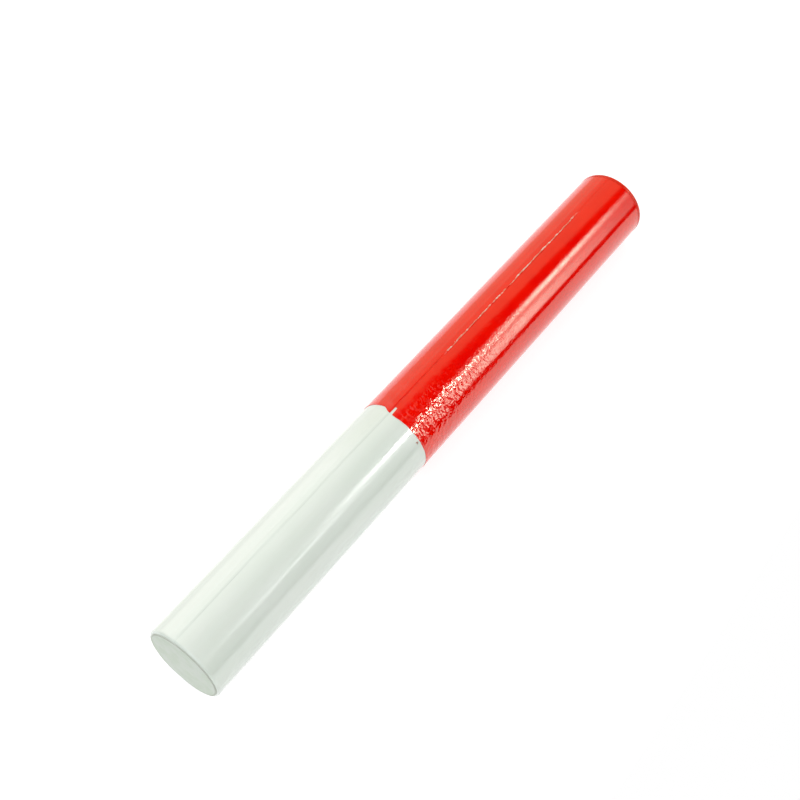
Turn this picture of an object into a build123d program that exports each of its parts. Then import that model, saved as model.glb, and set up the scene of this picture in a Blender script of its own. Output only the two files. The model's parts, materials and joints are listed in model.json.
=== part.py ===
from build123d import *
import os

# A hand-held road flare: a paper stick lying on its side. Millimetres, +Z up.
# The stick's axis runs along X. Its handle end is at -X and its igniter end at +X.
# The origin is midway along the stick, on the surface that it lies on.

# ---- Driving dimensions ----
LENGTH = 263.0              # over all, handle end to the outer face of the cap
OUTER_R = 15.0              # outside of the red sheet and of the cap's flange
PAPER = 0.2                 # a glazed sheet, wound and pasted
CASING_R = OUTER_R - 2 * PAPER
BORE_R = 12.5               # inside of the casing
HANDLE = 111.0              # white paper that shows, from the handle end
LAP = 4.5                   # white paper that runs on under the red

# ---- Handle end ----
ROUND_LENGTH = 0.8          # length over which the rim is rounded
ROUND_DEPTH = 0.5           # how far it has turned in at the very end
DISC_R = 13.9               # pasted over the turned-in edge of the white sheet
DISC_THICK = 0.4
PLUG_LENGTH = 30.0
SPACER_WALL = 1.5

# ---- Fire stop, charge and igniter ----
BULKHEAD_THICK = 3.0
CLAY_LENGTH = 12.0
LINER = 0.3
GRAIN_LENGTH = 134.5
FIRST_FIRE_THICK = 4.0
WASHER_THICK = 1.5
BUTTON_R = 7.4
BUTTON_HEIGHT = 6.0         # from the first-fire layer to the button's crown
BUTTON_CHAMFER = 1.2
BUTTON_GAP = 0.1            # round the button, in the washer

# ---- Striker cap ----
FLANGE_THICK = 1.9
FLANGE_ROUND = 0.9
SEAT_GAP = 0.1              # joint line between the flange and the end of the paper
SKIRT_LENGTH = 9.5
SKIRT_CLEARANCE = 0.08      # radial, a push fit that slides out of the bore
SKIRT_WALL = 1.42
CAP_WALL = 2.0
RING_GROOVE_DEPTH = 0.7
RING_WIDTH = 1.5
RING_SETBACK = 2.5          # from the skirt's free edge to the sealing ring
RING_CLEARANCE = 0.04
RECESS_R = 12.2
RECESS_DEPTH = 2.5
BOARD_THICK = 1.0
COATING_THICK = 0.4
COVER_LIFT_GAP = 0.1        # between the coating and its cover
COVER_THICK = 0.8
COVER_CLEARANCE = 0.3       # radial, round the cover
TAB_WIDTH = 8.0
TAB_THICK = 0.15

# ---- Stations along X ----
HANDLE_X = -LENGTH / 2
CAP_X = LENGTH / 2
BORDER_X = HANDLE_X + HANDLE
LAP_X = BORDER_X + LAP
FLANGE_X = CAP_X - FLANGE_THICK
MOUTH_X = FLANGE_X - SEAT_GAP
RIM_X = HANDLE_X + DISC_THICK
ROUND_X = RIM_X + ROUND_LENGTH
PLUG_X = RIM_X
SPACER_X = PLUG_X + PLUG_LENGTH
GRAIN_X = BORDER_X
CLAY_X = GRAIN_X - CLAY_LENGTH
BULKHEAD_X = CLAY_X - BULKHEAD_THICK
FIRST_FIRE_X = GRAIN_X + GRAIN_LENGTH
WASHER_X = FIRST_FIRE_X + FIRST_FIRE_THICK
BUTTON_TOP_X = WASHER_X + BUTTON_HEIGHT
SKIRT_X = MOUTH_X - SKIRT_LENGTH
RING_X = SKIRT_X + RING_SETBACK
BOARD_X = CAP_X - RECESS_DEPTH
COATING_X = BOARD_X + BOARD_THICK
COVER_X = COATING_X + COATING_THICK + COVER_LIFT_GAP
TAB_X = COVER_X + COVER_THICK

STICK_AXIS = Axis((0, 0, OUTER_R), (1, 0, 0))


def at(x, r):
    """A point of a turned outline, at station x and radius r."""
    return Vector(x, 0, OUTER_R + r)


def turned(*edges):
    """The solid of revolution about the stick's axis of a closed outline."""
    return revolve(make_face(Wire(list(edges))), axis=STICK_AXIS)


def turned_polygon(*points):
    """The same, for an outline of straight runs given as (x, r) pairs."""
    corners = [at(x, r) for x, r in points]
    return turned(*Polyline(*corners, close=True).edges())


def ring(x0, x1, r_out, r_in):
    """A plain tube or washer between two stations."""
    return turned_polygon((x0, r_in), (x1, r_in), (x1, r_out), (x0, r_out))


def disc(x0, x1, r):
    """A plain solid cylinder between two stations."""
    middle = Pos((x0 + x1) / 2, 0, OUTER_R) * Rot(0, 90, 0)
    return middle * Cylinder(r, x1 - x0)


def rim_arc(r, end_x):
    """The arc by which a layer of radius r turns in at the rim, and the radius where it ends.

    Every layer's arc has the same centre, and starts level with the others.
    """
    outer_arc_r = (ROUND_LENGTH**2 + ROUND_DEPTH**2) / (2 * ROUND_DEPTH)
    centre_r = OUTER_R - PAPER - outer_arc_r
    arc_r = r - centre_r
    drop = (arc_r**2 - (ROUND_X - end_x) ** 2) ** 0.5
    end_r = centre_r + drop
    half_turn = ((ROUND_X - end_x) / 2, (arc_r + drop) / 2)
    scale = arc_r / (half_turn[0] ** 2 + half_turn[1] ** 2) ** 0.5
    middle = at(ROUND_X - half_turn[0] * scale, centre_r + half_turn[1] * scale)
    return ThreePointArc(at(ROUND_X, r), middle, at(end_x, end_r)), end_r


def casing_tube():
    """Wound kraft tube, rounded at the handle end and open at the other."""
    end_x = RIM_X + PAPER
    arc, end_r = rim_arc(CASING_R, end_x)
    return turned(
        arc,
        Line(at(end_x, end_r), at(end_x, BORE_R)),
        Line(at(end_x, BORE_R), at(MOUTH_X, BORE_R)),
        Line(at(MOUTH_X, BORE_R), at(MOUTH_X, CASING_R)),
        Line(at(MOUTH_X, CASING_R), at(ROUND_X, CASING_R)),
    )


def white_wrap():
    """Glazed white sheet: round the handle, over the rim and turned in on the casing's end."""
    outer, rim_r = rim_arc(CASING_R + PAPER, RIM_X)
    inner, inner_r = rim_arc(CASING_R, RIM_X + PAPER)
    return turned(
        outer,
        Line(at(RIM_X, rim_r), at(RIM_X, BORE_R)),
        Line(at(RIM_X, BORE_R), at(RIM_X + PAPER, BORE_R)),
        Line(at(RIM_X + PAPER, BORE_R), at(RIM_X + PAPER, inner_r)),
        inner,
        Line(at(ROUND_X, CASING_R), at(LAP_X, CASING_R)),
        Line(at(LAP_X, CASING_R), at(LAP_X, CASING_R + PAPER)),
        Line(at(LAP_X, CASING_R + PAPER), at(ROUND_X, CASING_R + PAPER)),
    )


def red_wrap():
    """Glazed red sheet: over the white sheet's edge, then on the casing, level outside."""
    return turned_polygon(
        (BORDER_X, CASING_R + PAPER),
        (LAP_X, CASING_R + PAPER),
        (LAP_X, CASING_R),
        (MOUTH_X, CASING_R),
        (MOUTH_X, OUTER_R),
        (BORDER_X, OUTER_R),
    )


def igniter_button():
    """Match-head button on the first-fire layer, standing out of the washer's hole."""
    shoulder_x = BUTTON_TOP_X - BUTTON_CHAMFER
    return turned_polygon(
        (WASHER_X, 0),
        (WASHER_X, BUTTON_R),
        (shoulder_x, BUTTON_R),
        (BUTTON_TOP_X, BUTTON_R - BUTTON_CHAMFER),
        (BUTTON_TOP_X, 0),
    )


def striker_cap():
    """Moulded plug: a flange flush with the paper, a skirt in the bore, a recess for the striker."""
    skirt_r = BORE_R - SKIRT_CLEARANCE
    inside_r = skirt_r - SKIRT_WALL
    groove_r = skirt_r - RING_GROOVE_DEPTH
    rounded_x = CAP_X - FLANGE_ROUND
    slant = FLANGE_ROUND * (1 - 0.5**0.5)
    edge = ThreePointArc(
        at(rounded_x, OUTER_R),
        at(CAP_X - slant, OUTER_R - slant),
        at(CAP_X, OUTER_R - FLANGE_ROUND),
    )
    runs = Polyline(
        at(CAP_X, OUTER_R - FLANGE_ROUND),
        at(CAP_X, RECESS_R),
        at(BOARD_X, RECESS_R),
        at(BOARD_X, 0),
        at(BOARD_X - CAP_WALL, 0),
        at(BOARD_X - CAP_WALL, inside_r),
        at(SKIRT_X, inside_r),
        at(SKIRT_X, skirt_r),
        at(RING_X, skirt_r),
        at(RING_X, groove_r),
        at(RING_X + RING_WIDTH, groove_r),
        at(RING_X + RING_WIDTH, skirt_r),
        at(FLANGE_X, skirt_r),
        at(FLANGE_X, OUTER_R),
        at(rounded_x, OUTER_R),
    )
    return turned(edge, *runs.edges())


def cap_seal_ring():
    """Soft ring in the skirt's groove that keeps damp out."""
    skirt_r = BORE_R - SKIRT_CLEARANCE
    return ring(RING_X, RING_X + RING_WIDTH, BORE_R - RING_CLEARANCE, skirt_r - RING_GROOVE_DEPTH)


def cover_pull_tab():
    """Tape pasted flat across the striker cover, to lift it by."""
    length = 2 * (RECESS_R - COVER_CLEARANCE) - TAB_WIDTH
    return Pos(TAB_X + TAB_THICK / 2, 0, OUTER_R) * Box(TAB_THICK, TAB_WIDTH, length)


CHARGE_R = BORE_R - LINER
COVER_R = RECESS_R - COVER_CLEARANCE

NODES = {
    "casing_tube": casing_tube(),
    "white_wrap": white_wrap(),
    "red_wrap": red_wrap(),
    "handle_end_disc": disc(HANDLE_X, RIM_X, DISC_R),
    "handle_plug": disc(PLUG_X, SPACER_X, BORE_R),
    "handle_spacer_tube": ring(SPACER_X, BULKHEAD_X, BORE_R, BORE_R - SPACER_WALL),
    "bulkhead_disc": disc(BULKHEAD_X, CLAY_X, BORE_R),
    "clay_fire_stop": disc(CLAY_X, GRAIN_X, BORE_R),
    "grain_liner": ring(GRAIN_X, WASHER_X, BORE_R, CHARGE_R),
    "flare_grain": disc(GRAIN_X, FIRST_FIRE_X, CHARGE_R),
    "first_fire_layer": disc(FIRST_FIRE_X, WASHER_X, CHARGE_R),
    "retaining_washer": ring(WASHER_X, WASHER_X + WASHER_THICK, BORE_R, BUTTON_R + BUTTON_GAP),
    "igniter_button": igniter_button(),
    "striker_cap": striker_cap(),
    "cap_seal_ring": cap_seal_ring(),
    "striker_board": disc(BOARD_X, COATING_X, RECESS_R),
    "striker_coating": disc(COATING_X, COATING_X + COATING_THICK, COVER_R),
    "striker_cover": disc(COVER_X, TAB_X, COVER_R),
    "cover_pull_tab": cover_pull_tab(),
}

os.makedirs("parts", exist_ok=True)
for name, solid in NODES.items():
    export_step(solid, f"parts/{name}.step")
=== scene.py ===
import json
import math

import bpy
import bmesh
import numpy as np
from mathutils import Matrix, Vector, noise


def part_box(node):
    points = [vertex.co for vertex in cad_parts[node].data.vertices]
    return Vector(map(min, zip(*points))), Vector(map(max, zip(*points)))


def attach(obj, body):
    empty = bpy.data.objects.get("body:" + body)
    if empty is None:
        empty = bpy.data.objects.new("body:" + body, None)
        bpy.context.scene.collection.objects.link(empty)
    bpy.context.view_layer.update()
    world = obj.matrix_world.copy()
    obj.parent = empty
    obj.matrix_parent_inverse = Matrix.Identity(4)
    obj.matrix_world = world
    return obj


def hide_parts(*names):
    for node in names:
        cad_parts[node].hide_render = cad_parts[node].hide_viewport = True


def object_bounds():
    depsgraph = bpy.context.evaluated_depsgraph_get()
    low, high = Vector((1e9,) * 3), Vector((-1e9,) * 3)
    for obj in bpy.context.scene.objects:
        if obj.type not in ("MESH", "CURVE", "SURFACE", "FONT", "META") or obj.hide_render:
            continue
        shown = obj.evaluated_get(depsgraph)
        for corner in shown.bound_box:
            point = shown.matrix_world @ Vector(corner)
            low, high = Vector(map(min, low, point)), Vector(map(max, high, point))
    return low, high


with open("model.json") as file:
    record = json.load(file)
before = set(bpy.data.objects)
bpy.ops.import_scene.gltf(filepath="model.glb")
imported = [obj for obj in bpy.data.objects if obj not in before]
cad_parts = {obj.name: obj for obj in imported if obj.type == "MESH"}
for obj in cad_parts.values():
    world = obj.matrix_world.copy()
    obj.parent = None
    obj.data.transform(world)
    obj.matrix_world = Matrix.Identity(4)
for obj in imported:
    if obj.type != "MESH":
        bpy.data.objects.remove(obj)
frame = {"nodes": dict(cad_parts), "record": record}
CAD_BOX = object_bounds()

# A road flare: a round paper stick, its handle end at -X and its igniter end at +X.
# Angles round the stick are measured from the top (+Z) towards the back (+Y).

MM = 0.001
DEGREE = math.pi / 180


# ---- Sizes and places, from the frame ----

def radius(node):
    """Outer radius of a CAD node that is turned about the stick's axis."""
    low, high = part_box(node)
    return (high.z - low.z) / 2


def span(node):
    """Where a CAD node starts and ends along the stick."""
    low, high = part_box(node)
    return low.x, high.x


OUTER_R = radius("red_wrap")
WHITE_R = radius("white_wrap")
CASING_R = radius("casing_tube")
BORE_R = radius("clay_fire_stop")
AXIS_Z = OUTER_R
HANDLE_X = CAD_BOX[0].x
RIM_X, LAP_X = span("white_wrap")
BORDER_X, MOUTH_X = span("red_wrap")

SHEET = 0.15 * MM            # one turn of the glazed paper, with its paste
PAPER = 0.9 * SHEET          # the paper alone
SEAM = 4.5 * DEGREE          # where the outer edge of both sheets lies
RIM_LENGTH = 0.8 * MM        # length over which the handle end's rim is rounded
RIM_DEPTH = 0.5 * MM         # how far it has turned in at the very end
ROUND_X = RIM_X + RIM_LENGTH
CRACKLE_END = BORDER_X + 32 * MM     # the red glaze is crackled from the border to here
GRAIN_END = BORDER_X + 66 * MM       # and fine-grained on to here
WORN_END = MOUTH_X - 34 * MM         # the worn red seam begins to close up here
SWELL_R = 14 * MM            # radius at which the unevenness of both sheets is taken
SHARP = 35 * DEGREE          # meshes are shaded smooth up to this angle
FILLET_POINTS = 6            # points along each rounded corner of a turned outline


# ---- Mesh helpers ----

def ease(value, start, end):
    """0 before start, 1 after end, and smooth between them. Takes numbers or arrays."""
    share = np.clip((np.asarray(value, float) - start) / (end - start), 0, 1)
    return share * share * (3 - 2 * share)


def wave(size, *point):
    """Smooth noise between -1 and 1 whose features are about size across."""
    return noise.noise(Vector(point) / size)


def round_stick(x, r, angle):
    """Points at station x, radius r and an angle round the stick, as an array of coordinates."""
    x, r, angle = np.broadcast_arrays(x, r, angle)
    return np.stack([x, r * np.sin(angle), AXIS_Z + r * np.cos(angle)], axis=-1)


def section(angle, r):
    """(y, z) from the stick's axis of a point at an angle and a radius."""
    return r * math.sin(angle), r * math.cos(angle)


def make_object(name, vertices, faces, material):
    """A smooth-shaded mesh object with its sharp edges kept."""
    mesh = bpy.data.meshes.new(name)
    mesh.from_pydata([tuple(v) for v in vertices], [], faces)
    tidy = bmesh.new()
    tidy.from_mesh(mesh)
    bmesh.ops.remove_doubles(tidy, verts=tidy.verts, dist=1e-8)
    bmesh.ops.recalc_face_normals(tidy, faces=tidy.faces)
    tidy.to_mesh(mesh)
    tidy.free()
    mesh.shade_smooth()
    mesh.set_sharp_from_angle(angle=SHARP)
    mesh.materials.append(material)
    made = bpy.data.objects.new(name, mesh)
    bpy.context.scene.collection.objects.link(made)
    return made


def quads(rows, columns, start=0, flip=False):
    """Faces of a grid of points that are numbered row by row from start."""
    made = []
    for i in range(rows - 1):
        for j in range(columns - 1):
            a = start + i * columns + j
            corner = (a, a + 1, a + columns + 1, a + columns)
            made.append(corner[::-1] if flip else corner)
    return made


def thick_sheet(name, outer, inner, material):
    """A closed solid between two grids of points, one for each face of a sheet."""
    rows, columns = outer.shape[:2]
    count = rows * columns
    faces = quads(rows, columns) + quads(rows, columns, count, flip=True)
    for j in range(columns - 1):
        for row in (0, rows - 1):
            a = row * columns + j
            faces.append((a, a + 1, count + a + 1, count + a))
    for i in range(rows - 1):
        for column in (0, columns - 1):
            a = i * columns + column
            faces.append((a, a + columns, count + a + columns, count + a))
    vertices = np.concatenate([outer.reshape(-1, 3), inner.reshape(-1, 3)])
    return make_object(name, vertices, faces, material)


def rounded(corners, step, closed):
    """An outline of (x, r, fillet) corners, in metres, with its corners rounded and its runs divided."""
    points = [Vector((x, r)) for x, r, _ in corners]
    count = len(points)
    made = []
    for k, (_, _, fillet) in enumerate(corners):
        here = points[k]
        if fillet == 0 or (not closed and k in (0, count - 1)):
            made.append(here)
            continue
        before = (points[k - 1] - here).normalized() * fillet
        after = (points[(k + 1) % count] - here).normalized() * fillet
        for t in np.linspace(0, 1, FILLET_POINTS):
            made.append(here + before * (1 - t) ** 2 + after * t**2)
    if closed:
        made.append(made[0])
    fine = [made[0]]
    for a, b in zip(made, made[1:]):
        parts = max(1, round((b - a).length / step))
        fine += [a.lerp(b, (i + 1) / parts) for i in range(parts)]
    return [(p.x, max(p.y, 0.0)) for p in (fine[:-1] if closed else fine)]


def lathe(name, corners, material, step, around=144, relief=None):
    """A turned solid from its outline. relief(x, r, angle) moves a point of its surface by (dx, dr).

    An outline that starts and ends on the axis is a solid, and any other is a ring.
    """
    ring = corners[0][1] > 0
    outline = rounded(corners, step, closed=ring)
    rows = len(outline)
    vertices = []
    for x, r in outline:
        for k in range(around):
            angle = 2 * math.pi * k / around
            dx, dr = relief(x, r, angle) if relief and r > 0 else (0, 0)
            y, z = section(angle, max(r + dr, 0))
            vertices.append((x + dx, y, AXIS_Z + z))
    faces = []
    for i in range(rows if ring else rows - 1):
        for k in range(around):
            a, b = i * around, (i + 1) % rows * around
            after = (k + 1) % around
            corner = [a + k, a + after, b + after, b + k]
            if outline[i][1] == 0:
                corner.remove(a + after)
            if outline[(i + 1) % rows][1] == 0:
                corner.remove(b + after)
            faces.append(tuple(corner))
    return make_object(name, vertices, faces, material)


# ---- Node helpers ----

GLAZE = 1.0                  # specular level of the varnish on both papers
MIX_COLOURS = (6, 7)         # the colour sockets of a mix node
MIX_RESULT = 2


class Nodes:
    """A node tree, with the kinds of node that the materials and the sky share."""

    def __init__(self, tree):
        self.tree = tree

    def add(self, kind, **settings):
        node = self.tree.nodes.new(kind)
        for key, value in settings.items():
            setattr(node, key, value)
        return node

    def feed(self, socket, value):
        """Links a socket to another one, or sets it to a plain value."""
        if isinstance(value, bpy.types.NodeSocket):
            self.tree.links.new(value, socket)
        else:
            socket.default_value = value

    def math(self, operation, a, b=0.0):
        node = self.add("ShaderNodeMath", operation=operation)
        self.feed(node.inputs[0], a)
        self.feed(node.inputs[1], b)
        return node.outputs[0]

    def between(self, value, start, end, low=0.0, high=1.0):
        """low before start, high after end, and smooth between them."""
        node = self.add("ShaderNodeMapRange", interpolation_type="SMOOTHSTEP")
        self.feed(node.inputs["Value"], value)
        self.feed(node.inputs["From Min"], start)
        self.feed(node.inputs["From Max"], end)
        self.feed(node.inputs["To Min"], low)
        self.feed(node.inputs["To Max"], high)
        return node.outputs[0]


class Paint(Nodes):
    """One procedural material, built node by node on a Principled shader."""

    def __init__(self, name, roughness, **values):
        self.material = bpy.data.materials.new(name)
        self.material.use_nodes = True
        super().__init__(self.material.node_tree)
        self.shader = self.tree.nodes["Principled BSDF"]
        self.shader.inputs["Roughness"].default_value = roughness
        for socket, value in values.items():
            self.shader.inputs[socket.replace("_", " ")].default_value = value
        self.place = self.add("ShaderNodeTexCoord").outputs["Object"]

    def position(self):
        """Station along the stick and distance behind its middle plane, in metres."""
        node = self.add("ShaderNodeSeparateXYZ")
        self.feed(node.inputs[0], self.place)
        return node.outputs[0], node.outputs[1]

    def distance(self, place, point):
        """Distance of a place from a fixed point, in metres."""
        node = self.add("ShaderNodeVectorMath", operation="DISTANCE")
        self.feed(node.inputs[0], place)
        node.inputs[1].default_value = point
        return node.outputs["Value"]

    def from_axis(self):
        """Distance from the stick's axis, in metres."""
        flat = self.add("ShaderNodeVectorMath", operation="MULTIPLY")
        self.feed(flat.inputs[0], self.place)
        flat.inputs[1].default_value = (0, 1, 1)
        return self.distance(flat.outputs[0], (0, 0, AXIS_Z))

    def grain(self, size, detail, stretch=(1, 1, 1)):
        """Noise between 0 and 1 whose features are about size across, in metres."""
        mapping = self.add("ShaderNodeMapping")
        mapping.inputs["Scale"].default_value = stretch
        self.feed(mapping.inputs["Vector"], self.place)
        node = self.add("ShaderNodeTexNoise")
        self.feed(node.inputs["Vector"], mapping.outputs[0])
        node.inputs["Scale"].default_value = 1 / size
        node.inputs["Detail"].default_value = detail
        return node.outputs[0]

    def attribute(self, name):
        """A number that the mesh carries at each point."""
        return self.add("ShaderNodeAttribute", attribute_name=name).outputs["Fac"]

    def near(self, point, inner, outer):
        """1 within a distance of a point, 0 past another distance, and smooth between them."""
        return self.between(self.distance(self.place, point), inner, outer, 1, 0)

    def blend(self, share, first, second):
        """Colour between two others, each a triple or another node's."""
        node = self.add("ShaderNodeMix", data_type="RGBA")
        self.feed(node.inputs[0], share)
        for socket, tone in zip(MIX_COLOURS, (first, second)):
            self.feed(node.inputs[socket], (*tone, 1) if isinstance(tone, tuple) else tone)
        return node.outputs[MIX_RESULT]

    def colour(self, value):
        self.feed(self.shader.inputs["Base Color"], value)

    def roughness(self, value):
        self.feed(self.shader.inputs["Roughness"], value)

    def bump(self, height, depth, below=None):
        """Relief of a depth in metres, on top of another relief."""
        node = self.add("ShaderNodeBump")
        node.inputs["Distance"].default_value = depth
        self.feed(node.inputs["Height"], height)
        if below is not None:
            self.feed(node.inputs["Normal"], below)
        self.feed(self.shader.inputs["Normal"], node.outputs[0])
        return node.outputs[0]


# ---- Materials ----

def grainy(name, dark, light, roughness, size, depth, stretch=(1, 1, 1)):
    """A matt or satin material of two tones, with a fine grain and broad blotches."""
    paint = Paint(name, roughness)
    fine = paint.grain(size, 6, stretch)
    broad = paint.between(paint.grain(size * 12, 3, stretch), 0.35, 0.65)
    share = paint.math("ADD", paint.math("MULTIPLY", fine, 0.65), paint.math("MULTIPLY", broad, 0.35))
    paint.colour(paint.blend(paint.between(share, 0.3, 0.7), dark, light))
    paint.bump(fine, depth)
    return paint.material


def white_paper():
    """Glazed white paper with a faint green cast, soft lengthwise streaks and a grey line of painted shade
    at its seam.

    A speck of stray red glaze lies next to the red paper.
    """
    paint = Paint("white_glazed_paper", 0.2, Specular_IOR_Level=GLAZE)
    pale = (0.785, 0.84, 0.755)
    paler = (0.82, 0.86, 0.79)
    streaky = (0.785, 0.825, 0.74)
    # grey of the painted shade along the outer sheet's edge at the seam
    painted_seam_shade = (0.50, 0.54, 0.49)
    stray_red = (0.36, 0.10, 0.05)
    blotch = paint.between(paint.grain(16 * MM, 3, (0.5, 1, 1)), 0.35, 0.68)
    streak = paint.between(paint.grain(1.6 * MM, 3, (0.04, 1, 1)), 0.35, 0.7, 0.0, 0.5)
    tone = paint.blend(streak, paint.blend(blotch, pale, paler), streaky)

    beside = paint.between(paint.attribute("from_edge"), 0.15 * MM, 0.5 * MM, 1, 0)
    patchy = paint.between(paint.grain(7 * MM, 3, (0.3, 1, 1)), 0.35, 0.6, 0.2, 1)
    fades = paint.between(paint.position()[0], RIM_X + 20 * MM, RIM_X + 36 * MM, 0.7, 0.25)
    # painted shade: a grey line just inside the outer sheet's edge at the seam, strongest near the handle
    # end
    seam = paint.math("MULTIPLY", paint.math("MULTIPLY", beside, patchy), fades)
    tone = paint.blend(seam, tone, painted_seam_shade)

    speck_place = round_stick(BORDER_X - 1.6 * MM, WHITE_R, -53 * DEGREE)
    ragged = paint.between(paint.grain(0.5 * MM, 3), 0.4, 0.5)
    speck = paint.math("MULTIPLY", paint.near(speck_place, 0.3 * MM, 0.75 * MM), ragged)
    paint.colour(paint.blend(speck, tone, stray_red))
    paint.roughness(paint.between(paint.grain(9 * MM, 3, (0.3, 1, 1)), 0.3, 0.7, 0.16, 0.21))
    paint.bump(paint.grain(5 * MM, 2, (0.25, 1, 1)), 0.05 * MM)
    return paint.material


def end_card():
    """Pale card, darkened by painted shade near its cut edge."""
    paint = Paint("end_card", 0.7)
    pale = (0.76, 0.82, 0.70)
    paler = (0.82, 0.86, 0.77)
    painted_edge_shade = (0.46, 0.47, 0.39)
    edge = radius("handle_end_disc")
    blotch = paint.between(paint.grain(4.8 * MM, 3), 0.35, 0.65)
    # painted shade: the face darkens over its outer ring, towards the crease at its edge
    edge_shade_share = paint.between(paint.from_axis(), edge - 0.75 * MM, edge - 0.3 * MM, 0.0, 0.6)
    paint.colour(paint.blend(edge_shade_share, paint.blend(blotch, pale, paler), painted_edge_shade))
    paint.bump(paint.grain(0.4 * MM, 6), 0.03 * MM)
    return paint.material


def glaze_stretches(paint, x, y):
    """How crackled and how fine-grained the red glaze is. Both only show on the stick's front side."""
    front = paint.between(y, -5.5 * MM, -1.5 * MM, 1, 0)
    crackle_ends = paint.between(x, CRACKLE_END - 16 * MM, CRACKLE_END + 2 * MM, 1, 0)
    grain_starts = paint.between(x, CRACKLE_END - 14 * MM, CRACKLE_END)
    grain_ends = paint.between(x, GRAIN_END - 8 * MM, GRAIN_END + 14 * MM, 1, 0)
    crackled = paint.math("MULTIPLY", front, crackle_ends)
    grained = paint.math("MULTIPLY", front, paint.math("MULTIPLY", grain_starts, grain_ends))
    return crackled, grained


def red_seam(paint, x):
    """Where the red sheet's outer edge is pressed down, which takes a dark line of painted shade, and where
    its glaze has worn off in dashes.
    """
    ragged = paint.between(paint.grain(0.9 * MM, 3, (0.4, 1, 1)), 0.3, 0.7, 0.15 * MM, 0.65 * MM)
    past_edge = paint.math("SUBTRACT", paint.attribute("from_edge"), ragged)
    beside = paint.between(past_edge, -0.08 * MM, 0.08 * MM, 1, 0)
    worn_starts = paint.between(x, CRACKLE_END, CRACKLE_END + 4 * MM)
    worn_ends = paint.between(x, WORN_END, WORN_END + 12 * MM, 1, 0)
    dashes = paint.between(paint.grain(5 * MM, 4, (0.6, 0.3, 0.3)), 0.38, 0.46)
    worn = paint.math("MULTIPLY", paint.math("MULTIPLY", worn_starts, worn_ends), dashes)
    worn = paint.math("MULTIPLY", worn, beside)
    pressed_ends = paint.between(x, CRACKLE_END - 3 * MM, CRACKLE_END, 1, 0)
    return paint.math("MULTIPLY", pressed_ends, beside), worn


def red_paper():
    """Glazed red paper: crackled next to the white on its front side, then fine-grained, then smooth.

    Its outer edge shows at the seam: a dark line of painted shade at first, then paper where the glaze has
    worn off.
    """
    shine = (0.7, 0.9, 0.72, 1)
    paint = Paint("red_glazed_paper", 0.15, Specular_IOR_Level=GLAZE, Specular_Tint=shine)
    x, y = paint.position()
    crackled, grained = glaze_stretches(paint, x, y)
    pressed_edge_shade, worn = red_seam(paint, x)

    blotch = paint.between(paint.grain(9 * MM, 3), 0.3, 0.7)
    red = paint.blend(blotch, (0.92, 0.001, 0.0), (0.98, 0.004, 0.0))
    # painted shade: a darker red line where the outer edge is pressed down at the seam
    red = paint.blend(paint.math("MULTIPLY", pressed_edge_shade, 0.5), red, (0.72, 0.0, 0.0))
    flecks = paint.between(paint.grain(1.0 * MM, 2, (0.7, 1, 1)), 0.45, 0.65)
    paper = paint.blend(flecks, (0.80, 0.20, 0.12), (0.92, 0.66, 0.56))
    paint.colour(paint.blend(worn, red, paper))

    scuff = paint.between(paint.grain(2.5 * MM, 5), 0.45, 0.75, 0.0, 0.06)
    scuff = paint.math("MULTIPLY", scuff, paint.math("SUBTRACT", 1.0, crackled))
    gloss = paint.math("SUBTRACT", 0.1, paint.math("MULTIPLY", crackled, 0.06))
    paint.roughness(paint.math("ADD", paint.math("ADD", gloss, scuff), paint.math("MULTIPLY", worn, 0.3)))
    crackle = paint.grain(1.7 * MM, 1)
    fine = paint.grain(1.3 * MM, 2)
    soft = paint.bump(paint.grain(4 * MM, 3, (0.35, 1, 1)), 0.04 * MM)
    sandy = paint.bump(paint.math("MULTIPLY", fine, grained), 0.09 * MM, soft)
    paint.bump(paint.math("MULTIPLY", crackle, crackled), 0.3 * MM, sandy)
    return paint.material


def cap_plastic():
    """Moulded red plastic with a fine grain and a slightly uneven gloss."""
    paint = Paint("cap_plastic", 0.25, Specular_Tint=(1, 0.87, 0.6, 1))
    blotch = paint.grain(5 * MM, 3)
    paint.colour(paint.blend(blotch, (0.72, 0.006, 0.001), (0.80, 0.016, 0.002)))
    paint.roughness(paint.between(paint.grain(2 * MM, 4), 0.3, 0.7, 0.2, 0.34))
    paint.bump(paint.grain(0.3 * MM, 4), 0.01 * MM)
    return paint.material


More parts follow.
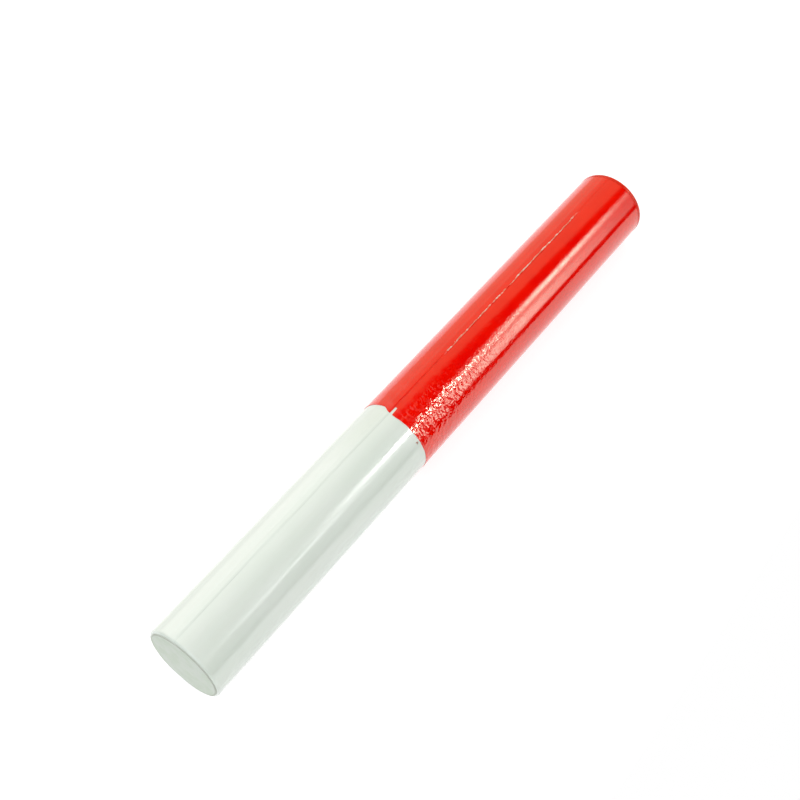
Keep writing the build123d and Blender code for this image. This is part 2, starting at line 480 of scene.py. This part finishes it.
GRAINY = {
    # slot: dark tone, light tone, roughness, size of the grain, depth of the relief, stretch
    "kraft_paper": ((0.30, 0.17, 0.08), (0.52, 0.34, 0.18), 0.8, 0.5 * MM, 0.04 * MM, (0.3, 1, 1)),
    "grey_card": ((0.28, 0.25, 0.21), (0.48, 0.44, 0.38), 0.85, 0.4 * MM, 0.05 * MM),
    "softwood": ((0.42, 0.25, 0.11), (0.68, 0.48, 0.27), 0.65, 1.2 * MM, 0.05 * MM, (0.08, 1, 1)),
    "clay": ((0.34, 0.29, 0.24), (0.52, 0.46, 0.40), 0.95, 0.6 * MM, 0.1 * MM),
    "waxed_paper": ((0.52, 0.42, 0.24), (0.68, 0.58, 0.38), 0.4, 0.8 * MM, 0.02 * MM),
    "flare_composition": ((0.34, 0.31, 0.31), (0.62, 0.56, 0.55), 0.9, 0.3 * MM, 0.08 * MM),
    "first_fire": ((0.06, 0.055, 0.05), (0.16, 0.14, 0.13), 0.9, 0.3 * MM, 0.08 * MM),
    "igniter_composition": ((0.055, 0.016, 0.012), (0.15, 0.045, 0.03), 0.75, 0.35 * MM, 0.1 * MM),
    "seal_rubber": ((0.012, 0.012, 0.012), (0.03, 0.03, 0.03), 0.55, 0.5 * MM, 0.02 * MM),
    "striker_surface": ((0.07, 0.022, 0.016), (0.20, 0.07, 0.05), 0.9, 0.25 * MM, 0.1 * MM),
    "cover_card": ((0.66, 0.02, 0.008), (0.76, 0.04, 0.016), 0.4, 0.5 * MM, 0.02 * MM),
    "tab_tape": ((0.58, 0.54, 0.44), (0.74, 0.70, 0.60), 0.75, 0.3 * MM, 0.03 * MM, (1, 1, 0.3)),
}


def make_materials():
    """Every finish of the record, by its slot."""
    made = {slot: grainy(slot, *values) for slot, values in GRAINY.items()}
    made["white_glazed_paper"] = white_paper()
    made["red_glazed_paper"] = red_paper()
    made["end_card"] = end_card()
    made["cap_plastic"] = cap_plastic()
    return made


# ---- Camera, light and floor ----

def make_camera():
    """Three-quarter view from above the handle end. Its place is in stick radii from that end."""
    handle_end = Vector((HANDLE_X, 0, AXIS_Z))
    place = handle_end + OUTER_R * Vector((-6.0485, -10.3006, 23.8285))
    target = handle_end + OUTER_R * Vector((8.438, 0.567, 0))
    lens = bpy.data.cameras.new("camera")
    lens.lens = 54.34
    lens.sensor_width = 36
    lens.clip_start = 0.01
    camera = bpy.data.objects.new("camera", lens)
    camera.location = place
    camera.rotation_mode = "QUATERNION"
    camera.rotation_quaternion = (target - place).to_track_quat("-Z", "Y")
    bpy.context.scene.collection.objects.link(camera)
    bpy.context.scene.camera = camera


class Sky(Nodes):
    """A studio's light as seen from the stick, drawn by angle.

    tilt is the angle from straight up towards the back, in degrees, and reach is how far
    a direction points along the stick, from 0 (square to it) to 1.
    """

    def __init__(self):
        world = bpy.data.worlds.new("studio")
        bpy.context.scene.world = world
        world.use_nodes = True
        super().__init__(world.node_tree)
        self.output = self.tree.nodes["World Output"]
        self.lamp = self.tree.nodes["Background"]
        split = self.add("ShaderNodeSeparateXYZ")
        self.feed(split.inputs[0], self.add("ShaderNodeTexCoord").outputs["Generated"])
        self.reach = split.outputs[0]
        turn = self.math("ARCTAN2", split.outputs[1], split.outputs[2])
        self.tilt = self.math("MULTIPLY", turn, 1 / DEGREE)

    def past(self, value, edge, blur, side):
        """1 above an edge and 0 below it, smooth across a blur. A side of -1 turns it round."""
        turned = self.math("MULTIPLY", value, side)
        return self.between(turned, edge * side - blur / 2, edge * side + blur / 2)

    def panel(self, level, tilts, reaches=(-2, 2), *, blur, leans=(0.0, 0.0)):
        """A soft-edged panel of light between two tilts, given at a reach of one half, and two reaches.

        leans turn the two edges, in degrees of tilt for a whole reach.
        """
        past_half = self.math("SUBTRACT", self.math("MAXIMUM", self.reach, 0.25), 0.5)
        shape = level
        for tilt, lean, side in zip(tilts, leans, (1, -1)):
            leaned = self.math("SUBTRACT", self.tilt, self.math("MULTIPLY", past_half, lean))
            shape = self.math("MULTIPLY", self.past(leaned, tilt, blur[0], side), shape)
        for reach, side in zip(reaches, (1, -1)):
            shape = self.math("MULTIPLY", self.past(self.reach, reach, blur[1], side), shape)
        return shape

    def light(self, groups):
        """Adds up groups of panels, each with its colour."""
        total = (0, 0, 0)
        for colour, panels in groups:
            level = 0.0
            for panel in panels:
                level = self.math("ADD", level, panel)
            tinted = self.add("ShaderNodeVectorMath", operation="SCALE")
            tinted.inputs[0].default_value = colour
            self.feed(tinted.inputs["Scale"], level)
            added = self.add("ShaderNodeVectorMath")
            self.feed(added.inputs[0], total)
            self.feed(added.inputs[1], tinted.outputs[0])
            total = added.outputs[0]
        self.feed(self.lamp.inputs["Color"], total)

    def plain_background(self):
        """What the camera sees past the floor is plain white."""
        plain = self.add("ShaderNodeBackground")
        plain.inputs["Color"].default_value = (1, 1, 1, 1)
        plain.inputs["Strength"].default_value = 1.0
        path = self.add("ShaderNodeLightPath")
        choice = self.add("ShaderNodeMixShader")
        self.feed(choice.inputs[0], path.outputs["Is Camera Ray"])
        self.feed(choice.inputs[1], self.lamp.outputs[0])
        self.feed(choice.inputs[2], plain.outputs[0])
        self.feed(self.output.inputs["Surface"], choice.outputs[0])


def make_light():
    """A warm room past the igniter end, a broad ceiling, a cool window past the handle end, and white boxes.

    The varnish mirrors them: the room and the ceiling along the stick's back, the window near the handle
    end, and the boxes and the strip as the bright streaks and patches on the front side. Two dim panels
    fill in behind and in front.
    """
    sky = Sky()
    room = sky.panel(0.62, (13.0, 200.0), (0.445, 2.0), blur=(9.0, 0.05), leans=(-145.0, 0.0))
    ceiling = sky.panel(2.1, (12.0, 200.0), (0.1, 0.445), blur=(100.0, 0.05))
    back = sky.panel(0.25, (45.0, 200.0), blur=(70.0, 0.1))
    front = sky.panel(0.26, (-85.0, -28.0), blur=(5.0, 0.1), leans=(0.0, -37.0))
    window = sky.panel(1.0, (-70.0, 65.0), (-2.0, 0.1), blur=(40.0, 0.3))
    near_box = sky.panel(52.0, (-50.0, -40.5), (0.464, 0.5), blur=(3.0, 0.06))
    far_box = sky.panel(11.0, (-48.0, -37.5), (0.592, 0.648), blur=(12.0, 0.07))
    dim_box = sky.panel(1.7, (-86.0, -34.0), (0.525, 0.67), blur=(6.0, 0.06))
    mid_box = sky.panel(3.4, (-80.0, -57.0), (0.535, 0.59), blur=(6.0, 0.05))
    low_box = sky.panel(1.6, (-86.0, -62.0), (0.50, 0.63), blur=(5.0, 0.08))
    strip = sky.panel(7.0, (-58.0, -55.0), (0.27, 0.43), blur=(2.5, 0.06))
    sky.light([
        ((0.88, 0.9, 0.58), [room]),
        ((1.0, 0.95, 0.97), [ceiling]),
        ((1.0, 1.0, 1.0), [back, front, near_box, far_box, dim_box, mid_box, low_box, strip]),
        ((0.9, 0.96, 0.98), [window]),
    ])
    sky.plain_background()


def make_floor():
    """A plain white table top that glows a little and ends 13 cm in front of the stick."""
    left, right, near, far = -0.6, 0.6, -0.13, 0.6
    corners = [(left, near, 0), (right, near, 0), (right, far, 0), (left, far, 0)]
    paint = Paint("floor", 0.8)
    paint.colour(paint.blend(paint.grain(20 * MM, 2), (0.34, 0.34, 0.34), (0.36, 0.36, 0.36)))
    path = paint.add("ShaderNodeLightPath")
    always = 0.3
    seen = paint.math("MULTIPLY", path.outputs["Is Camera Ray"], 0.5)
    mirrored = paint.math("MULTIPLY", path.outputs["Is Glossy Ray"], 0.7)
    glow = paint.math("ADD", paint.math("ADD", seen, mirrored), always)
    paint.shader.inputs["Emission Color"].default_value = (1, 1, 1, 1)
    paint.feed(paint.shader.inputs["Emission Strength"], glow)
    floor = make_object("floor", corners, [(0, 1, 2, 3)], paint.material)


# ---- The two glazed sheets ----

def seam_angles():
    """Angles turned from a sheet's outer edge to its hidden inner edge, close together near the seam."""
    near = 10 * DEGREE
    full = 360 * DEGREE
    first = np.linspace(0, near, 60, endpoint=False)
    middle = np.linspace(near, full - near, 260, endpoint=False)
    last = np.linspace(full - near, full + near, 110)
    return np.concatenate([first, middle, last])


def seam_step(turned):
    """Height of the outer turn, which lies on the inner one and comes down past its end, in sheets."""
    return 1 - ease(turned, 9 * DEGREE, 15 * DEGREE)


def pressed_edge(turned):
    """How far the outer edge is pressed down into the inner turn, in sheets."""
    return 0.9 * (1 - ease(turned, 0.2 * DEGREE, 3.4 * DEGREE))


def mark_distance(sheet, turned, rows, r):
    """Gives each point of a sheet its distance round the stick from the outer edge."""
    distance = np.tile(turned * r, 2 * rows)
    attribute = sheet.data.attributes.new("from_edge", "FLOAT", "POINT")
    attribute.data.foreach_set("value", distance.astype(np.float32))


def rim_profile():
    """The white sheet's outline, from its edge under the red to the casing's bore, as (x, r) rows."""
    arc_r = (RIM_LENGTH**2 + RIM_DEPTH**2) / (2 * RIM_DEPTH)
    outline = [(x, WHITE_R) for x in np.linspace(LAP_X, ROUND_X, 150, endpoint=False)]
    for t in np.linspace(0, math.asin(RIM_LENGTH / arc_r), 10):
        outline.append((ROUND_X - arc_r * math.sin(t), WHITE_R - arc_r * (1 - math.cos(t))))
    outline += [(RIM_X, r) for r in np.linspace(outline[-1][1], BORE_R, 6)[1:]]
    return np.array(outline)


def outward(profile):
    """Unit vectors square to an outline, pointing out of the sheet."""
    along = np.gradient(profile, axis=0)
    along /= np.linalg.norm(along, axis=1)[:, None]
    return np.stack([along[:, 1], -along[:, 0]], axis=1)


def white_lift(profile, turned):
    """How far the white sheet's outside stands off its outline: swells, pleats at the rim, and the seam."""
    lift = np.zeros((len(profile), len(turned)))
    seam = seam_step(turned) - pressed_edge(turned)
    for i, x in enumerate(profile[:, 0]):
        handle = float(ease(x, ROUND_X, ROUND_X + 2 * MM))
        for j, t in enumerate(turned):
            y, z = section(t + SEAM, SWELL_R)
            swell = 0.025 * handle * wave(22 * MM, x, y, z)
            pleat = 0.03 * (1 - handle) * wave(2.5 * MM, 0, y, z)
            lift[i, j] = (swell + pleat) * MM
        lift[i] += SHEET * (0.35 + 0.65 * handle) * seam
    return lift


def make_white_wrap(material):
    """Sheet round the handle, over the rounded rim and turned in on the casing's end."""
    turned = seam_angles()
    profile = rim_profile()
    normal = outward(profile)
    lift = white_lift(profile, turned)
    waver = 0.35 * DEGREE * np.sin(profile[:, :1] / (9 * MM))
    angle = turned + SEAM + waver
    outer_x = profile[:, :1] + normal[:, :1] * lift
    outer_r = profile[:, 1:] + normal[:, 1:] * lift
    outer = round_stick(outer_x, outer_r, angle)
    inner = round_stick(outer_x - normal[:, :1] * PAPER, outer_r - normal[:, 1:] * PAPER, angle)
    sheet = thick_sheet("white_sheet", outer, inner, material)
    mark_distance(sheet, turned, len(profile), WHITE_R)
    return sheet


def red_edge(turned):
    """Where the red sheet starts along the stick, by the angle turned from its outer edge.

    The sheet went on a little askew, so its two ends miss each other at the seam. The outer end has
    a small tongue over the white, and the inner end a nick beside it, where the white shows.
    """
    full = 360 * DEGREE
    askew = (1.5 - 2.1 * turned / full) * MM
    tongue = -1.7 * MM * (1 - ease(turned, 2 * DEGREE, 15 * DEGREE))
    nick = 3.6 * MM * ease(turned, full - 4.6 * DEGREE, full - 3.4 * DEGREE)
    fray = np.array([0.12 * wave(2.5 * MM, t * OUTER_R, 0, 0) for t in turned]) * MM
    return BORDER_X + askew + tongue + nick + fray


def seam_loose(station):
    """How loose the red sheet's outer edge is, from 0 where it is pasted down to 1."""
    loosens = float(ease(station, CRACKLE_END, CRACKLE_END + 6 * MM))
    closes = float(ease(station, WORN_END, WORN_END + 14 * MM))
    return loosens * (1 - closes)


def red_unevenness(x, turned):
    """How far each point of the red sheet stands out, and how far it strays round the stick."""
    lift = np.zeros(x.shape)
    stray = np.zeros(x.shape)
    crackled = 1 - ease(x, CRACKLE_END - 14 * MM, CRACKLE_END + 6 * MM)
    for i, station in enumerate(x[:, 0]):
        loose = seam_loose(station)
        curl = loose * max(0.0, 0.5 + 1.2 * wave(6 * MM, station, 7.0, 0))
        waver = 0.6 * wave(16 * MM, station, 1.0, 0) + 0.5 * wave(4 * MM, station, 4.0, 0)
        for j, t in enumerate(turned):
            y, z = section(t + SEAM, SWELL_R)
            swell = 0.02 * wave(25 * MM, x[i, j], y, z)
            rough = 0.03 * wave(3 * MM, x[i, j], y, z) * crackled[i, j]
            lift[i, j] = (swell + rough) * MM
        lift[i] += 0.2 * MM * curl * np.exp(-turned / (2 * DEGREE))
        lift[i] += SHEET * (seam_step(turned) - (1 - loose) * pressed_edge(turned))
        stray[i] = waver * DEGREE * np.exp(-turned / (5 * DEGREE))
    return lift, stray


def make_red_wrap(material):
    """Sheet round the burning half. Past the crackled stretch its outer edge stands up here and there."""
    turned = seam_angles()
    start = red_edge(turned)
    end = MOUTH_X - 0.02 * MM
    stations = np.concatenate([np.linspace(0, 0.05, 14, endpoint=False), np.linspace(0.05, 1, 250)])
    x = start[None, :] + stations[:, None] * (end - start)[None, :]
    lift, stray = red_unevenness(x, turned)
    angle = turned[None, :] + SEAM + stray
    outer_r = OUTER_R - 0.3 * SHEET + lift
    outer = round_stick(x, outer_r, angle)
    inner = round_stick(x, outer_r - PAPER, angle)
    sheet = thick_sheet("red_sheet", outer, inner, material)
    mark_distance(sheet, turned, len(x), OUTER_R)
    return sheet


# ---- Pieces at the two ends ----

def make_end_disc(material):
    """Pale card disc pasted over the handle end, a little uneven, its edge pressed down on the rim."""
    front, back = span("handle_end_disc")
    r = radius("handle_end_disc")

    def relief(x, at, angle):
        y, z = section(angle, at)
        face = 1 - float(ease(x, front, back))
        uneven = 0.07 * wave(7 * MM, 1, y, z) + 0.03 * wave(2.5 * MM, 4, y, z)
        crease = 0.12 * math.exp(-(((at - 0.9 * r) / (0.4 * MM)) ** 2))
        trim = 0.12 * MM * wave(6 * MM, 9, y, z) * float(ease(at, 0.8 * r, r))
        return ((0.1 + uneven + crease) * MM * face, trim)

    corners = [(front, 0, 0), (front, r, 0.2 * MM), (back, r, 0), (back, 0, 0)]
    return lathe("end_disc", corners, material, 0.4 * MM, around=192, relief=relief)


def make_casing(material):
    """Wound tube whose open end shows its plies."""
    start, end = span("casing_tube")
    plies = 7
    ply = (CASING_R - BORE_R) / plies
    groove_half = 0.14           # half of the groove between two plies, in plies

    def relief(x, r, angle):
        mouth = float(ease(x, end - 0.25 * MM, end - 0.05 * MM))
        turn = (r - BORE_R) / ply + angle / (2 * math.pi)
        groove = abs(turn - round(turn)) < groove_half
        fuzz = abs(wave(1.5 * MM, x, r * math.sin(angle), r))
        return (mouth * MM * (-0.12 * groove - 0.05 * fuzz), 0)

    corners = [
        (start, BORE_R, 0.1 * MM),
        (end, BORE_R, 0.1 * MM),
        (end, CASING_R, 0.1 * MM),
        (start + RIM_LENGTH, CASING_R, 0.3 * MM),
        (start, CASING_R - RIM_DEPTH, 0.1 * MM),
    ]
    return lathe("casing", corners, material, 4 * ply / 3, relief=relief)


def make_cap(material):
    """Turned cap: a rounded flange, a recess for the striker and a skirt that goes into the bore."""
    clearance = 0.08 * MM
    wall = 2 * MM
    skirt_wall = 1.42 * MM
    groove = 0.7 * MM
    seat_gap = 0.1 * MM
    skirt_x, cap_x = span("striker_cap")
    ring_x, ring_end = span("cap_seal_ring")
    board_x = span("striker_board")[0]
    recess_r = radius("striker_board")
    skirt_r = BORE_R - clearance
    inside_r = skirt_r - skirt_wall
    groove_r = skirt_r - groove
    flange_x = MOUTH_X + seat_gap
    corners = [
        (board_x - wall, 0, 0),
        (board_x - wall, inside_r, 0.5 * MM),
        (skirt_x, inside_r, 0.3 * MM),
        (skirt_x, skirt_r, 0.4 * MM),
        (ring_x, skirt_r, 0.1 * MM),
        (ring_x, groove_r, 0.1 * MM),
        (ring_end, groove_r, 0.1 * MM),
        (ring_end, skirt_r, 0.1 * MM),
        (flange_x, skirt_r, 0.1 * MM),
        (flange_x, OUTER_R, 0.25 * MM),
        (cap_x, OUTER_R, 0.9 * MM),
        (cap_x, recess_r, 0.25 * MM),
        (board_x, recess_r, 0.1 * MM),
        (board_x, 0, 0),
    ]
    return lathe("cap", corners, material, 0.8 * MM, around=192)


def make_seal_ring(material):
    """Rounded soft ring in the skirt's groove."""
    gap = 0.02 * MM
    wall = 0.72 * MM
    start, end = span("cap_seal_ring")
    outer = radius("cap_seal_ring")
    inner = outer - wall
    corners = [
        (start + gap, inner, 0.1 * MM),
        (start + gap, outer, 0.5 * MM),
        (end - gap, outer, 0.5 * MM),
        (end - gap, inner, 0.1 * MM),
    ]
    return lathe("seal_ring", corners, material, 0.3 * MM)


def make_igniter(material):
    """Cast match-head button with a lumpy crown."""
    start, end = span("igniter_button")
    r = radius("igniter_button")

    def relief(x, at, angle):
        y, z = section(angle, at)
        free = float(ease(x, start + 1.6 * MM, start + 3 * MM))
        lump = 0.22 * wave(2.2 * MM, x, y, z) + 0.1 * wave(0.8 * MM, x, y, z)
        return (lump * MM * free, -abs(lump) * MM * free)

    corners = [
        (start, 0, 0),
        (start, r, 0.1 * MM),
        (end - 0.7 * MM, r, 1.3 * MM),
        (end - 0.25 * MM, 0.55 * r, 1.5 * MM),
        (end - 0.25 * MM, 0, 0),
    ]
    return lathe("igniter", corners, material, 0.35 * MM, relief=relief)


def make_washer(material):
    """Card washer round the button, with a fuzzy punched edge."""
    start, end = span("retaining_washer")
    outer = radius("retaining_washer")
    inner = radius("igniter_button") + 0.12 * MM

    def relief(x, at, angle):
        y, z = section(angle, at)
        edge = 1 - float(ease(at, inner, inner + 1 * MM))
        return (0.05 * MM * wave(1.2 * MM, x, y, z), 0.08 * MM * edge * abs(wave(0.6 * MM, x, y, z)))

    corners = [
        (start, inner, 0.1 * MM),
        (start, outer, 0.1 * MM),
        (end, outer, 0.3 * MM),
        (end, inner, 0.3 * MM),
    ]
    return lathe("washer", corners, material, 0.5 * MM, relief=relief)


def make_striker(material):
    """Gritty striking surface, brushed on unevenly."""
    start, end = span("striker_coating")
    r = radius("striker_coating")

    def relief(x, at, angle):
        y, z = section(angle, at)
        front = float(ease(x, start + 0.1 * MM, end))
        grit = -0.1 * abs(wave(0.7 * MM, 1, y, z)) - 0.08 * abs(wave(0.35 * MM, 5, y, z))
        ragged = 0.35 * wave(3 * MM, 2, y, z) * float(ease(at, r - 1.5 * MM, r))
        return (grit * MM * front, -abs(ragged) * MM)

    corners = [(start, 0, 0), (start, r, 0.05 * MM), (end, r, 0.2 * MM), (end, 0, 0)]
    return lathe("striker", corners, material, 0.35 * MM, around=216, relief=relief)


def make_cover(material):
    """Card cover over the striker, with a pressed rim."""
    start, end = span("striker_cover")
    r = radius("striker_cover")

    def relief(x, at, angle):
        y, z = section(angle, at)
        front = float(ease(x, start + 0.3 * MM, end))
        groove = -0.18 * math.exp(-(((at - 0.84 * r) / (0.5 * MM)) ** 2))
        return ((groove + 0.03 * wave(6 * MM, 1, y, z)) * MM * front, 0)

    corners = [(start, 0, 0), (start, r, 0.15 * MM), (end, r, 0.25 * MM), (end, 0, 0)]
    return lathe("cover", corners, material, 0.4 * MM, relief=relief)


def make_tab(material):
    """Paper tape across the cover: its lower end is stuck down and its upper end stands free."""
    low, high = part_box("cover_pull_tab")
    length = high.z - low.z
    rows, columns = 60, 17
    gap = 0.02 * MM              # between the tape and the cover
    outer = np.zeros((rows, columns, 3))
    inner = np.zeros((rows, columns, 3))
    for i, t in enumerate(np.linspace(0, 1, rows)):
        free = float(ease(t, 0.6, 1.0))
        for j, s in enumerate(np.linspace(-1, 1, columns)):
            half = (high.y - low.y) / 2 * (1 - 0.12 * float(ease(abs(t - 0.5), 0.4, 0.5)))
            stand = 0.9 * MM * free**1.5 + 0.02 * MM * wave(2 * MM, t * length, s * half, 0)
            outer[i, j] = (high.x + stand, s * half, low.z + t * length)
            inner[i, j] = (low.x + gap + stand, s * half, low.z + t * length)
    return thick_sheet("pull_tab", outer, inner, material)


# ---- Assembly ----

REBUILT = [
    # maker, the CAD node it stands for, its body, its material slot
    (make_white_wrap, "white_wrap", "flare", "white_glazed_paper"),
    (make_red_wrap, "red_wrap", "flare", "red_glazed_paper"),
    (make_end_disc, "handle_end_disc", "flare", "end_card"),
    (make_casing, "casing_tube", "flare", "kraft_paper"),
    (make_washer, "retaining_washer", "flare", "grey_card"),
    (make_igniter, "igniter_button", "flare", "igniter_composition"),
    (make_cap, "striker_cap", "striker_cap", "cap_plastic"),
    (make_seal_ring, "cap_seal_ring", "striker_cap", "seal_rubber"),
    (make_striker, "striker_coating", "striker_cap", "striker_surface"),
    (make_cover, "striker_cover", "striker_cover", "cover_card"),
    (make_tab, "cover_pull_tab", "striker_cover", "tab_tape"),
]


def main():
    bpy.context.scene.view_settings.view_transform = "Standard"
    make_camera()
    make_light()
    make_floor()
    materials = make_materials()
    for maker, node, body, slot in REBUILT:
        piece = maker(materials[slot])
        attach(piece, body)
        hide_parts(node)
    for entry in frame["record"]["subparts"]:
        mesh = frame["nodes"][entry["node"]].data
        mesh.materials.clear()
        mesh.materials.append(materials[entry["material_slot"]])


main()
